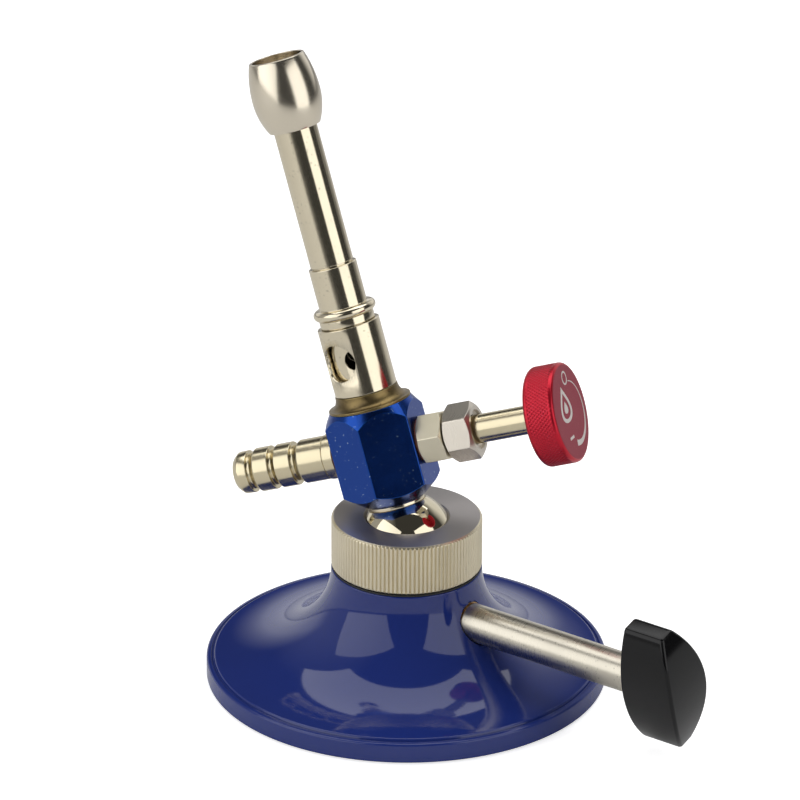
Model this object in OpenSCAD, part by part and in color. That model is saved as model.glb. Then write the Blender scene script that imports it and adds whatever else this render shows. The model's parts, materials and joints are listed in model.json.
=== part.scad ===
// Lampwork torch: an air and gas bench burner on a ball joint, clamped from a bell-shaped base.
// Origin: centre of the base's underside. +Z is up and +X runs out along the clamp lever.

/* [Base] */
// Radius of the bell base at its rim
base_r = 50; // [48:0.5:56]
// Height at which the flare meets the flat rim
rim_z = 6.2; // [5.8:0.1:6.6]
// Radius of the neck under the collar nut
neck_r = 18.8; // [18.6:0.1:19.4]
// Height of the neck shoulder that carries the collar nut
neck_z = 30; // [30:0.1:30.4]
// Wall left between the flare and the hollow underneath
base_wall = 4; // [3:0.25:5]

/* [Ball joint] */
// Radius of the polished ball
ball_r = 12; // [11.8:0.1:12]
// Height of the ball's centre
ball_z = 37; // [37:0.05:37.2]
// Lean of the burner away from the lever, in degrees
lean = 19.6; // [0:0.1:20.4]
// Direction of that lean about the base's axis, in degrees
lean_az = -2.9; // [-180:0.1:180]
// Outer radius of the knurled collar nut
collar_r = 18.75; // [18.5:0.05:19.5]
// Height of the collar nut
collar_h = 13; // [13:0.1:13.3]

/* [Clamp lever] */
// Height of the lever's axis
lever_z = 20.2; // [20:0.05:20.2]
// Radius of the lever's rod
rod_r = 4.7; // [4.3:0.1:4.7]
// Distance from the base's axis to the handle
handle_x = 70.2; // [66:0.1:84]
// Height of the handle across its wings
handle_h = 34.5; // [24:0.5:36]
// Thickness of the handle at its middle
handle_t = 15; // [13:0.5:16]
// Angle at which the handle stands when clamped, in degrees
handle_rake = 16; // [0:1:45]

/* [Valve body] */
// Width across the flats of the hexagonal body
body_af = 22; // [21.5:0.1:23]
// Height of the body's underside above the ball's centre
body_z = 10.4; // [10.4:0.05:10.6]
// Height of the body
body_h = 25.1; // [24.6:0.1:26]
// Height of the valve and hose axis above the ball's centre
valve_z = 24.2; // [23:0.1:24.3]
// Direction of the valve about the burner's axis, in degrees
valve_az = 22.6; // [0:0.1:60]
// Outer radius of the hose nozzle's lands
barb_r = 5.5; // [5.2:0.1:5.8]

/* [Valve] */
// Radius of the control knob
knob_r = 12.5; // [11:0.5:14]
// Thickness of the control knob
knob_t = 8.1; // [7.5:0.1:9]
// Distance from the burner's axis to the knob
knob_x = 42.4; // [40:0.1:44]
// Radius of the visible spindle
spindle_r = 3.6; // [3.4:0.05:3.65]

/* [Burner tube] */
// Outer radius of the mixing tube
mixer_r = 6.05; // [6:0.05:6.1]
// Outer radius of the burner tube above it
tube_r = 5.45; // [5.3:0.05:5.6]
// Outer radius of the air sleeve
sleeve_r = 7.85; // [7.6:0.05:8]
// Radius of the sleeve's air windows
window_r = 4.75; // [4:0.05:5]
// Radius of the mixing tube's air holes
air_hole_r = 2.7; // [2.2:0.05:2.9]
// Direction of the sleeve's front window, in degrees
window_az = -88.7; // [-180:0.1:180]
// Direction of the tube's front air hole, in degrees
air_hole_az = -51.7; // [-180:0.1:180]
// Largest radius of the flame head
head_r = 8.55; // [8.3:0.05:9]

/* [Hidden] */
$fn = 96;

slack = 0.05;                            // running clearance on a radius
gap = 0.3;                               // clearance between parts that only pass each other
cut = 1;                                 // how far a cutter runs past the face it opens

// Base: the flare is a quarter ellipse from the rim's inner edge up to the neck.
flare_r = base_r - 2;                    // where the flare starts
flare_w = flare_r - neck_r;
flare_h = neck_z - rim_z;
rim_top = rim_z - 0.7;                   // top of the upright rim
foot_h = 0.5;                            // the pad stands this far below the rim
pad_h = 1.2;
plate_h = 2;
plate_top = pad_h + plate_h;
plate_r = base_r - 3.5;
plate_screw_ring = 30;
boss_r = 5;                              // casting boss for a plate screw
hollow_in = 18.2;                        // the hollow's inner radius, round the central boss
hollow_top = 12;
stub_r = 15.9;                           // threaded stub that the collar nut screws onto
stub_top = neck_z + 8;
socket_r = 12.3;                         // chamber for the ball and its lower seat
gasket_h = 0.5;

// Ball joint
seat_r = ball_r + slack;                 // spherical seats fit the ball with running clearance
ball_flat = 9.4;                         // the ball is cut flat here, under the washer
stud_r = 3.95;
stud_top = 17;
collar_z = neck_z + gasket_h;
collar_top = collar_z + collar_h;
collar_bore = 16;
collar_mouth = 10.25;
upper_seat_r = 15.5;
upper_seat_z = stub_top + gap;
upper_seat_top = collar_top - 1.35;
lower_seat_r = 12.2;
lower_seat_top = ball_z - 5;
lower_seat_hole = 4;

// Lever: an eccentric turned inside the shaft's own radius lifts the lower seat.
journal_r = 4;
cam_offset = 0.5;                        // eccentricity of the cam
cam_r = journal_r - cam_offset - slack;
cam_x = 12.6;                            // the cam fills the ball chamber from side to side
tail_x = 17.4;                           // inner end of the shaft
tail_r = 3.2;
bush_x = [13, 19.4];                     // both ends of the bush
lower_seat_z = lever_z + journal_r;      // running clearance above the cam
socket_z = lower_seat_z - 0.65;          // floor of the ball chamber, below the seat's drop
groove_x = 15;                           // the stop screw's groove in the shaft's tail
groove_r = 2.6;
stop_screw_r = 1.6;
stop_screw_z = [8, 16];
spigot_r = 3;                            // shaft end inside the handle
spigot_len = 8.5;
insert_r = 4.2;
insert_len = 9;
handle_edge = 4.4;                       // thickness of the handle's cut ends
handle_side = 11.2;                      // length along the rod at those ends
handle_mid = 15.1;                       // length along the rod at the middle

// Valve body and what screws into it, measured along the valve's axis from the burner's axis
body_top = body_z + body_h;
flat_x = body_af / 2;
port_thread_r = 4.9;
port_end = 5;                            // depth reached by both side ports
chamber_r = 2.6;
orifice_r = 0.9;
orifice_x = -1.5;
washer_h = 0.5;
shoulder_x = flat_x + washer_h;
bonnet_hex_end = 18.2;
gland_x = [18.5, 26];
gland_thread_r = 5.05;
gland_wall = 23.5;                       // inner face of the gland nut's end wall
packing_x = 20.5;                        // inner face of the packing
follower_x = 22;
packing_r = gland_thread_r - 0.15;
stem_r = 2.2;                            // spindle inside the bonnet
stem_start = 6;
stem_end = 23.8;
needle_r = 1;
needle_x = [-2.3, 9];

// Burner tube, heights above the ball's centre
flange_top = body_top + 3.8;
mixer_base = body_top - 6;               // bottom of the tube's thread in the body
jet_thread = 2.9;                        // length of the jet's thread
mixer_thread_r = 5.55;
mixer_bore = 4.6;
sleeve_z = [flange_top + 0.1, flange_top + 17.3];
air_z = flange_top + 8.9;                // centre height of the air openings
ring_z = [flange_top + 17.4, flange_top + 19.4];
ring_r = 6.9;
bead_z = flange_top + 20.7;
bead_r = 7.9;
joint_z = 71.7;                          // where the narrower burner tube starts
tube_bore = 4.5;
spigot_tube_r = 5;
tube_foot = 64;                          // bottom of the burner tube's spigot
head_z = [106.9, 124.8];
head_mid = 115.2;
head_foot_r = 6.45;
head_lip_r = 6.9;
socket_depth = 5.1;
mouth_r = 6.2;

module on_burner() {
  translate([0, 0, ball_z]) rotate([0, -lean, lean_az]) children();
}

// Local +Z runs out along the valve's axis; local +X points down the burner.
module along_valve() {
  on_burner() translate([0, 0, valve_z]) rotate([0, 0, valve_az]) rotate([0, 90, 0]) children();
}

module along_nozzle() {
  on_burner() translate([0, 0, valve_z]) rotate([0, 0, valve_az + 180]) rotate([0, 90, 0]) children();
}

// Local +Z runs out along the lever; local +X points down.
module along_lever() {
  translate([0, 0, lever_z]) rotate([0, 90, 0]) children();
}

module rod(from, to, r) {
  translate([0, 0, from]) cylinder(h = to - from, r = r);
}

module ring(from, to, outer, inner) {
  difference() {
    rod(from, to, outer);
    rod(from - cut, to + cut, inner);
  }
}

// Hexagonal bar with both ends turned down to a chamfer
module hex_bar(from, to, across, turn, chamfer) {
  corner = across / (2 * cos(30));
  face_r = across / 2 - chamfer;
  reach = corner + 0.1;
  rise = (reach - face_r) * tan(30);
  intersection() {
    translate([0, 0, from]) rotate([0, 0, turn]) cylinder(h = to - from, r = corner, $fn = 6);
    rotate_extrude() polygon([
      [0, from],
      [face_r, from],
      [reach, from + rise],
      [reach, to - rise],
      [face_r, to],
      [0, to]
    ]);
  }
}

function flare_point(a) = [flare_r - flare_w * sin(a), neck_z - flare_h * cos(a)];
function hollow_point(a) = [
  flare_r - (flare_w + base_wall) * sin(a),
  neck_z - (flare_h + base_wall) * cos(a)
];

module base_section() {
  polygon(concat(
    [[0, foot_h], [base_r - 0.5, foot_h], [base_r, foot_h + 0.5], [base_r, rim_top - 0.3]],
    [[base_r - 0.3, rim_top], [base_r - 1.1, rim_top + 0.1], [base_r - 1.3, rim_top - 0.15]],
    [[base_r - 1.6, rim_top - 0.15], [base_r - 1.8, rim_z - 0.1]],
    [for (i = [0:30]) flare_point(i * 3)],
    [[stub_r, neck_z], [stub_r, stub_top], [0, stub_top]]
  ));
}

module hollow_section() {
  low = acos((neck_z - plate_top) / (flare_h + base_wall));
  high = acos((neck_z - hollow_top) / (flare_h + base_wall));
  polygon(concat(
    [for (i = [0:10]) hollow_point(low + (high - low) * i / 10)],
    [[hollow_in, hollow_top], [hollow_in, plate_top]]
  ));
}

module at_plate_screws() {
  for (i = [0:2]) rotate([0, 0, 60 + 120 * i]) translate([plate_screw_ring, 0, 0]) children();
}

module base_casting() {
  color("midnightblue") difference() {
    union() {
      difference() {
        rotate_extrude() base_section();
        rotate_extrude() hollow_section();
      }
      intersection() {
        rotate_extrude() base_section();
        at_plate_screws() rod(plate_top, hollow_top, boss_r);
      }
    }
    rod(foot_h - cut, plate_top, plate_r + 0.2);
    rod(socket_z, stub_top + cut, socket_r);
    at_plate_screws() rod(plate_top - cut, plate_top + 3.5, 1.5);
    along_lever() rod(-cam_x, base_r, journal_r + 0.9);
    along_lever() rod(-tail_x - 0.2, -cam_x + cut, tail_r + slack);
    translate([-groove_x, 0, 0]) rod(plate_top - cut, lever_z, stop_screw_r + slack);
  }
}

module bottom_plate() {
  color("dimgray") difference() {
    rod(pad_h, plate_top, plate_r);
    at_plate_screws() rod(pad_h - cut, plate_top + cut, 1.7);
    at_plate_screws() translate([0, 0, pad_h - 0.01]) cylinder(h = 1.5, r1 = 3.2, r2 = 1.7);
  }
}

module plate_screws() {
  color("silver") at_plate_screws() difference() {
    union() {
      rod(pad_h, plate_top + 3, 1.45);
      translate([0, 0, pad_h]) cylinder(h = 1.4, r1 = 3, r2 = 1.45);
    }
    translate([0, 0, pad_h - cut]) cylinder(h = cut + 1, r = 1, $fn = 6);
  }
}

module foot_pad() {
  color("black") rod(0, pad_h, plate_r - 0.5);
}

module neck_gasket() {
  color("black") ring(neck_z, collar_z, collar_r - 0.15, stub_r + slack);
}

module shaft_bush() {
  color("peru") along_lever() ring(bush_x[0], bush_x[1], journal_r + 0.88, journal_r + slack);
}

module shaft_stop_screw() {
  color("gray") translate([-groove_x, 0, 0]) difference() {
    union() {
      rod(stop_screw_z[0], stop_screw_z[1], stop_screw_r);
      rod(stop_screw_z[1] - cut, lever_z - groove_r - 0.1, 0.7);
    }
    translate([0, 0, stop_screw_z[0] - cut]) cylinder(h = cut + 1.5, r = 0.9, $fn = 6);
  }
}

module collar_nut() {
  color("silver") difference() {
    rotate_extrude() polygon([
      [0, collar_z],
      [collar_r - 0.5, collar_z],
      [collar_r, collar_z + 0.5],
      [collar_r, collar_top - 0.6],
      [collar_r - 0.6, collar_top],
      [0, collar_top]
    ]);
    rod(collar_z - cut, stub_top + gap, collar_bore);
    rod(stub_top, upper_seat_top + slack, upper_seat_r + 2 * slack);
    translate([0, 0, ball_z]) sphere(r = ball_r + 0.25);
    rod(collar_top - 2, collar_top + cut, collar_mouth);
    translate([0, 0, collar_top - 0.5]) cylinder(h = 0.51, r1 = collar_mouth, r2 = collar_mouth + 0.5);
  }
}

module upper_ball_seat() {
  color("ivory") difference() {
    rod(upper_seat_z, upper_seat_top, upper_seat_r);
    translate([0, 0, ball_z]) sphere(r = seat_r);
  }
}

module lower_ball_seat() {
  color("ivory") difference() {
    rod(lower_seat_z, lower_seat_top, lower_seat_r);
    translate([0, 0, ball_z]) sphere(r = seat_r);
    rod(lower_seat_z - cut, ball_z, lower_seat_hole);
  }
}

module cam_shaft() {
  color("silver") along_lever() difference() {
    union() {
      rod(-tail_x, -cam_x, tail_r);
      translate([-cam_offset, 0, 0]) rod(-cam_x, cam_x, cam_r);
      rod(cam_x, bush_x[1] + 0.4, journal_r);
      rod(bush_x[1] + 0.4, handle_x, rod_r);
      rod(handle_x, handle_x + spigot_len, spigot_r);
    }
    ring(-groove_x - 0.85, -groove_x + 0.85, tail_r + cut, groove_r);
  }
}

module handle_insert() {
  color("goldenrod") along_lever() ring(handle_x, handle_x + insert_len, insert_r, spigot_r + 0.02);
}

// A lens across the rod, cut flat at both wing tips and domed at its outer end
module clamp_handle() {
  rise = (handle_t - handle_edge) / 2;
  lens_r = (pow(handle_h / 2, 2) + pow(rise, 2)) / (2 * rise);
  dome_rise = handle_mid - handle_side;
  dome_r = (pow(handle_h / 2, 2) + pow(dome_rise, 2)) / (2 * dome_rise);
  color("black") translate([handle_x, 0, lever_z]) rotate([handle_rake, 0, 0]) difference() {
    intersection() {
      translate([0, -handle_t, -handle_h / 2]) cube([handle_mid, 2 * handle_t, handle_h]);
      translate([0, handle_t / 2 - lens_r, 0]) rotate([0, 90, 0]) rod(-cut, 2 * handle_mid, lens_r);
      translate([0, lens_r - handle_t / 2, 0]) rotate([0, 90, 0]) rod(-cut, 2 * handle_mid, lens_r);
      translate([handle_mid - dome_r, 0, 0]) rotate([90, 0, 0]) rod(-handle_t, handle_t, dome_r);
    }
    rotate([0, 90, 0]) rod(-cut, insert_len + 0.1, insert_r + 0.02);
  }
}

module pivot_ball() {
  color("gainsboro") on_burner() {
    difference() {
      sphere(r = ball_r);
      rod(ball_flat, ball_r + cut, ball_r);
    }
    rod(ball_flat - cut, stud_top, stud_r);
  }
}

module ball_washer() {
  color("silver") on_burner() ring(ball_flat, body_z - slack, 7.2, stud_r + slack);
}

module valve_body() {
  foot_r = 7.5;
  crown_r = 10.4;
  corner = body_af / (2 * cos(30)) + 0.1;
  color("mediumblue") on_burner() difference() {
    intersection() {
      translate([0, 0, body_z]) rotate([0, 0, valve_az + 30]) cylinder(h = body_h, r = corner - 0.1, $fn = 6);
      rotate_extrude() polygon([
        [0, body_z],
        [foot_r, body_z],
        [corner, body_z + 4.1],
        [corner, body_top - 3.7],
        [crown_r, body_top],
        [0, body_top]
      ]);
    }
    rod(body_z - cut, stud_top + 0.5, stud_r + slack);
    rod(mixer_base, body_top + cut, mixer_thread_r + slack);
    rod(valve_z, mixer_base + cut, 1.5);
    rod(mixer_base - jet_thread - 0.3, mixer_base + cut, 3 + slack);
    translate([0, 0, valve_z]) rotate([0, 0, valve_az]) rotate([0, 90, 0]) {
      rod(port_end, flat_x + cut, port_thread_r);
      rod(orifice_x, port_end + cut, chamber_r);
      rod(-port_end, orifice_x + cut, orifice_r);
      rod(-flat_x - cut, -port_end, port_thread_r);
    }
  }
}

// Each barb has an upright face towards the hose's end and a cone that rises to the next land.
module hose_nozzle() {
  root_r = barb_r - 1.1;
  color("tan") along_nozzle() difference() {
    rotate_extrude() polygon([
      [0, port_end + 0.5],
      [port_thread_r - slack, port_end + 0.5],
      [port_thread_r - slack, shoulder_x],
      [barb_r + 0.2, shoulder_x],
      [barb_r + 0.2, 14],
      [barb_r - 0.3, 14],
      [barb_r - 0.3, 14.3],
      [barb_r, 14.3],
      [barb_r, 20.8],
      [root_r, 23],
      [barb_r, 23],
      [barb_r, 27.1],
      [root_r, 29],
      [barb_r, 29],
      [barb_r, 32.9],
      [root_r, 35],
      [barb_r - 0.2, 35],
      [barb_r - 0.3, 37],
      [barb_r - 0.8, 38.3],
      [barb_r - 1.6, 38.9],
      [0, 38.9]
    ]);
    rod(0, 40, 2.5);
  }
}

module nozzle_washer() {
  color("sienna") along_nozzle() ring(flat_x, shoulder_x, barb_r - 0.2, port_thread_r);
}

module gas_jet() {
  color("goldenrod") on_burner() difference() {
    union() {
      rod(mixer_base - jet_thread, mixer_base, 3);
      hex_bar(mixer_base + washer_h, mixer_base + 5, 7, 0, 0.2);
      rod(mixer_base - cut, mixer_base + washer_h, 2.95);
      rod(mixer_base + 4.5, air_z - 5, 2.2);
      translate([0, 0, air_z - 5]) cylinder(h = 3, r1 = 2.2, r2 = 0.9);
    }
    rod(mixer_base - 4, air_z - 3.5, 1);
    rod(air_z - 4, air_z, 0.25);
  }
}

module jet_washer() {
  color("peru") on_burner() ring(mixer_base, mixer_base + washer_h, 3.9, 3);
}

module seat_flange() {
  lip = 0.7;
  foot = 10.4;
  neck = 7.95;
  rise = flange_top - body_top - lip;
  color("olivedrab") on_burner() difference() {
    rotate_extrude() polygon(concat(
      [[0, body_top], [foot - 0.15, body_top], [foot, body_top + 0.2], [foot, body_top + lip - 0.2]],
      [for (i = [0:8]) [
        foot - (foot - neck) * sin(i * 11.25),
        body_top + lip + rise * (1 - cos(i * 11.25))
      ]],
      [[0, flange_top]]
    ));
    rod(body_top - cut, flange_top + cut, mixer_r + slack);
  }
}

module mixing_tube() {
  color("silver") on_burner() difference() {
    union() {
      rod(mixer_base, body_top, mixer_thread_r);
      rod(body_top, joint_z, mixer_r);
      rod(ring_z[0], ring_z[1], ring_r);
      rotate_extrude() polygon([
        [mixer_r - cut, ring_z[1]],
        [bead_r - 1.1, ring_z[1]],
        [bead_r - 0.4, bead_z - 0.9],
        [bead_r, bead_z - 0.3],
        [bead_r, bead_z + 0.3],
        [bead_r - 0.4, bead_z + 0.9],
        [bead_r - 1.1, bead_z + 1.3],
        [mixer_r - cut, bead_z + 1.3]
      ]);
    }
    rod(mixer_base - cut, joint_z + cut, mixer_bore);
    rod(tube_foot - 0.1, joint_z + cut, spigot_tube_r + 0.02);
    for (side = [0, 180]) translate([0, 0, air_z]) rotate([0, 0, air_hole_az + side]) rotate([0, 90, 0])
      rod(mixer_bore - 2, mixer_r + cut, air_hole_r);
    ring(ring_z[0] - 1.8, ring_z[0] - 0.8, mixer_r + cut, mixer_r - 0.7);
  }
}

// Open wire ring that gives the air sleeve its drag
module sleeve_spring() {
  wire_r = 0.33;
  color("silver") on_burner() translate([0, 0, ring_z[0] - 1.3]) rotate_extrude(angle = 330)
    translate([mixer_r - wire_r, 0]) circle(r = wire_r, $fn = 24);
}

module air_sleeve() {
  color("silver") on_burner() difference() {
    rotate_extrude() polygon([
      [mixer_r + 2 * slack, sleeve_z[0]],
      [sleeve_r - 0.2, sleeve_z[0]],
      [sleeve_r, sleeve_z[0] + 0.2],
      [sleeve_r, sleeve_z[1] - 0.2],
      [sleeve_r - 0.2, sleeve_z[1]],
      [mixer_r + 2 * slack, sleeve_z[1]]
    ]);
    for (side = [0, 180]) translate([0, 0, air_z]) rotate([0, 0, window_az + side]) rotate([0, 90, 0])
      rod(1, sleeve_r + cut, window_r);
  }
}

module burner_tube() {
  color("silver") on_burner() difference() {
    union() {
      rod(tube_foot, joint_z, spigot_tube_r);
      rod(joint_z, head_z[0] + socket_depth, tube_r);
    }
    rod(tube_foot - cut, head_z[0] + socket_depth + cut, tube_bore);
  }
}

// Barrel shape from two arcs that meet at the widest height
function barrel(z, end_z, end_r) =
  let (span = abs(end_z - head_mid), drop = head_r - end_r)
  let (arc = (span * span + drop * drop) / (2 * drop))
  head_r - arc + sqrt(arc * arc - pow(z - head_mid, 2));

module flame_head() {
  color("silver") on_burner() difference() {
    rotate_extrude() polygon(concat(
      [[0, head_z[0]]],
      [for (i = [0:6]) let (z = head_z[0] + (head_mid - head_z[0]) * i / 6)
        [barrel(z, head_z[0], head_foot_r), z]],
      [for (i = [1:6]) let (z = head_mid + (head_z[1] - head_mid) * i / 6)
        [barrel(z, head_z[1], head_lip_r), z]],
      [[0, head_z[1]]]
    ));
    rod(head_z[0] - cut, head_z[0] + socket_depth + 0.1, tube_r + 0.02);
    rod(head_z[0], head_z[1], tube_bore);
    rod(head_z[0] + 7, head_z[1] + cut, mouth_r);
  }
}

// Ring of pilot ports round the main stream
module flame_retainer() {
  color("dimgray") on_burner() difference() {
    rod(head_z[0] + 7, head_z[0] + 13, mouth_r - 0.02);
    rod(head_z[0] + 6, head_z[0] + 14, 3.7);
    for (i = [0:9]) rotate([0, 0, 36 * i]) translate([4.95, 0, 0])
      rod(head_z[0] + 6, head_z[0] + 14, 0.7);
  }
}

module bonnet_washer() {
  color("sienna") along_valve() ring(flat_x, shoulder_x, 5.3, port_thread_r);
}

module valve_bonnet() {
  color("tan") along_valve() difference() {
    union() {
      rod(port_end + 0.5, shoulder_x, port_thread_r - slack);
      hex_bar(shoulder_x, bonnet_hex_end, 11.8, 18.5, 0.2);
      rod(bonnet_hex_end, packing_x, gland_thread_r - slack);
    }
    rod(port_end - cut, packing_x + cut, stem_r + slack);
  }
}

module gland_packing() {
  color("dimgray") along_valve() ring(packing_x, follower_x, packing_r, stem_r + slack);
}

module packing_follower() {
  color("goldenrod") along_valve() ring(follower_x, gland_wall, packing_r, stem_r + slack);
}

module gland_nut() {
  recess_r = 4.9;
  recess_depth = 0.9;
  color("tan") along_valve() difference() {
    hex_bar(gland_x[0], gland_x[1], 12.8, -7.5, 0.6);
    rod(gland_x[1] - recess_depth, gland_x[1] + cut, recess_r);
    rod(gland_x[0] - cut, gland_wall, gland_thread_r);
    rod(gland_wall - cut, gland_x[1] + cut, spindle_r + 2 * slack);
  }
}

module valve_needle() {
  color("silver") along_valve() {
    translate([0, 0, needle_x[0]]) cylinder(h = 1.6, r1 = 0.45, r2 = needle_r);
    rod(needle_x[0] + 1.6, needle_x[1], needle_r);
  }
}

module valve_spindle() {
  color("silver") along_valve() difference() {
    union() {
      rod(stem_start, stem_end, stem_r);
      rod(stem_end, knob_x, spindle_r);
      rod(knob_x, knob_x + knob_t - 1.5, 3);
    }
    rod(stem_start - cut, needle_x[1] + 0.2, needle_r + slack);
  }
}

module control_knob() {
  color("crimson") along_valve() difference() {
    rotate_extrude() polygon([
      [0, knob_x],
      [knob_r - 1.2, knob_x],
      [knob_r, knob_x + 1],
      [knob_r, knob_x + knob_t - 1.2],
      [knob_r - 0.4, knob_x + knob_t - 0.4],
      [knob_r - 1.2, knob_x + knob_t],
      [0, knob_x + knob_t]
    ]);
    rod(knob_x - cut, knob_x + knob_t - 1.4, 3.02);
    translate([0, 0, knob_x + 4]) rotate([90, 0, 0]) rod(-knob_r - cut, -2, 1.52);
  }
}

module knob_screw() {
  color("gray") along_valve() translate([0, 0, knob_x + 4]) rotate([90, 0, 0]) difference() {
    rod(-9, -3.05, 1.5);
    translate([0, 0, -10]) cylinder(h = 2.5, r = 0.8, $fn = 6);
  }
}

base_casting();
bottom_plate();
plate_screws();
foot_pad();
neck_gasket();
shaft_bush();
shaft_stop_screw();
collar_nut();
upper_ball_seat();
lower_ball_seat();
cam_shaft();
handle_insert();
clamp_handle();
pivot_ball();
ball_washer();
valve_body();
hose_nozzle();
nozzle_washer();
gas_jet();
jet_washer();
seat_flange();
mixing_tube();
sleeve_spring();
air_sleeve();
burner_tube();
flame_head();
flame_retainer();
bonnet_washer();
valve_bonnet();
gland_packing();
packing_follower();
gland_nut();
valve_needle();
valve_spindle();
control_knob();
knob_screw();
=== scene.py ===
import json
import math
from collections import namedtuple
import bmesh
import bpy
from mathutils import Matrix, Vector


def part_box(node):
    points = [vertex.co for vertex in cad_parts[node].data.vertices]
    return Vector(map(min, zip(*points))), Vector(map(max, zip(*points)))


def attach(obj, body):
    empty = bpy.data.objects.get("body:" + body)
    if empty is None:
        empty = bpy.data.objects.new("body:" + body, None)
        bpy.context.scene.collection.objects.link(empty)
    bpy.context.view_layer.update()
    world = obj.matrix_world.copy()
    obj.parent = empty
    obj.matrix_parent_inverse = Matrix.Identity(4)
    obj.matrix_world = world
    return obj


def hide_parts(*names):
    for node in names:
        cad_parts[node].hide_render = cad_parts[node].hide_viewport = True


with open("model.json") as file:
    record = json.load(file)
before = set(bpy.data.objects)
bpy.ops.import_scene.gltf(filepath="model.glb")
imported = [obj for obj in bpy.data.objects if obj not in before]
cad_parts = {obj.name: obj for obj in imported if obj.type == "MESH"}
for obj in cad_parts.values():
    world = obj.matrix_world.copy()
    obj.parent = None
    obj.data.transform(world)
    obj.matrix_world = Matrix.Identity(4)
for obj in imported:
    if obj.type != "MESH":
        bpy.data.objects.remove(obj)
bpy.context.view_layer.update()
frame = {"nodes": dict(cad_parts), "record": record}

mm = 0.001
scene = bpy.context.scene
record = frame["record"]
jointOf = {j["name"]: j for j in record["behaviour"]["joints"]}
print("frame loaded")


# Frames of reference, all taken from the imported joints

def axisFrame(origin, zAxis, xHint):
    z = zAxis.normalized()
    x = (xHint - z * xHint.dot(z)).normalized()
    y = z.cross(x)
    frameMatrix = Matrix((x, y, z)).transposed().to_4x4()
    frameMatrix.translation = origin
    return frameMatrix


def jointLine(name):
    joint = jointOf[name]
    return Vector(joint["pos_m"]), Vector(joint["axis"])


up = Vector((0, 0, 1))
ballCentre, burnerAxis = jointLine("burner_spin")
valveCentre, valveAxis = jointLine("knob_turn")
leverPoint, leverAxis = jointLine("lever_turn")
standFrame = Matrix.Identity(4)
burnerFrame = axisFrame(ballCentre, burnerAxis, valveAxis)      # X towards the valve
valveFrame = axisFrame(valveCentre, valveAxis, burnerAxis)      # X up along the burner
nozzleFrame = axisFrame(valveCentre, -valveAxis, burnerAxis)
leverFrame = axisFrame(leverPoint, leverAxis, up)               # X up, Z out along the rod

Span = namedtuple("Span", "low high radius")


def span(node, axes):
    # lowest and highest place along the frame's Z, and the largest radius about it, in millimetres
    back = axes.inverted()
    spots = [back @ v.co for v in frame["nodes"][node].data.vertices]
    heights = [p.z for p in spots]
    return Span(min(heights) / mm, max(heights) / mm, max(math.hypot(p.x, p.y) for p in spots) / mm)


# Mesh making

def filleted(corners, steps=4):
    # corners are (radius, height, fillet) in millimetres; a fillet of 0 keeps the corner sharp
    tiny, nearlyStraight, share = 1e-6, math.pi - 0.02, 0.45
    out = []
    for i, (r, z, fillet) in enumerate(corners):
        here = Vector((r, z))
        before = Vector(corners[i - 1][:2]) - here
        after = Vector(corners[(i + 1) % len(corners)][:2]) - here
        turn = before.angle(after) if fillet and min(before.length, after.length) > tiny else math.pi
        if turn > nearlyStraight:
            out.append((r, z))
            continue
        reach = min(fillet / math.tan(turn / 2), share * before.length, share * after.length)
        radius = reach * math.tan(turn / 2)
        inward = (before.normalized() + after.normalized()).normalized()
        middle = here + inward * radius / math.sin(turn / 2)
        start = here + before.normalized() * reach - middle
        end = here + after.normalized() * reach - middle
        sweep = start.angle_signed(end)
        for k in range(steps + 1):
            spoke = start.copy()
            spoke.rotate(Matrix.Rotation(-sweep * k / steps, 2))
            out.append(tuple(middle + spoke))
    return out


def finishMesh(name, bm, axes, smoothAngle=35):
    weld = 2e-7
    bmesh.ops.remove_doubles(bm, verts=bm.verts, dist=weld)
    bmesh.ops.dissolve_degenerate(bm, edges=bm.edges, dist=weld / 2)
    bmesh.ops.recalc_face_normals(bm, faces=bm.faces)
    mesh = bpy.data.meshes.new(name)
    bm.to_mesh(mesh)
    bm.free()
    mesh.shade_smooth()
    mesh.set_sharp_from_angle(angle=math.radians(smoothAngle))
    piece = bpy.data.objects.new(name, mesh)
    scene.collection.objects.link(piece)
    piece.matrix_world = axes
    return piece


def skin(bm, loops, closed=True):
    # faces between neighbouring loops of points in millimetres; an open run gets an end cap on both sides
    rings = [[bm.verts.new(Vector(point) * mm) for point in loop] for loop in loops]
    for i in range(len(rings) if closed else len(rings) - 1):
        here, there = rings[i], rings[(i + 1) % len(rings)]
        for j in range(len(here)):
            k = (j + 1) % len(here)
            bm.faces.new((here[j], there[j], there[k], here[k]))
    if not closed:
        bm.faces.new(rings[0][::-1])
        bm.faces.new(rings[-1])


def turned(name, outlineAt, axes, angles=192, smoothAngle=35):
    # outlineAt(angle) gives the closed outline at that angle round the frame's Z axis
    if isinstance(angles, int):
        angles = [2 * math.pi * i / angles for i in range(angles)]
    bm = bmesh.new()
    skin(bm, [[(r * math.cos(a), r * math.sin(a), z) for r, z in outlineAt(a)] for a in angles])
    return finishMesh(name, bm, axes, smoothAngle)


def lathed(name, corners, axes, steps=192, fine=4):
    outline = filleted(corners, fine)
    return turned(name, lambda angle: outline, axes, steps)


def applyAll(piece):
    # turns the piece's modifiers into mesh
    shape = piece.evaluated_get(bpy.context.evaluated_depsgraph_get())
    mesh = bpy.data.meshes.new_from_object(shape)
    piece.modifiers.clear()
    piece.data = mesh


def cutAway(piece, *tools):
    for tool in tools:
        cutter = piece.modifiers.new("cut", "BOOLEAN")
        cutter.operation = "DIFFERENCE"
        cutter.solver = "EXACT"
        cutter.object = tool
    applyAll(piece)
    for tool in tools:
        bpy.data.objects.remove(tool)


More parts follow.
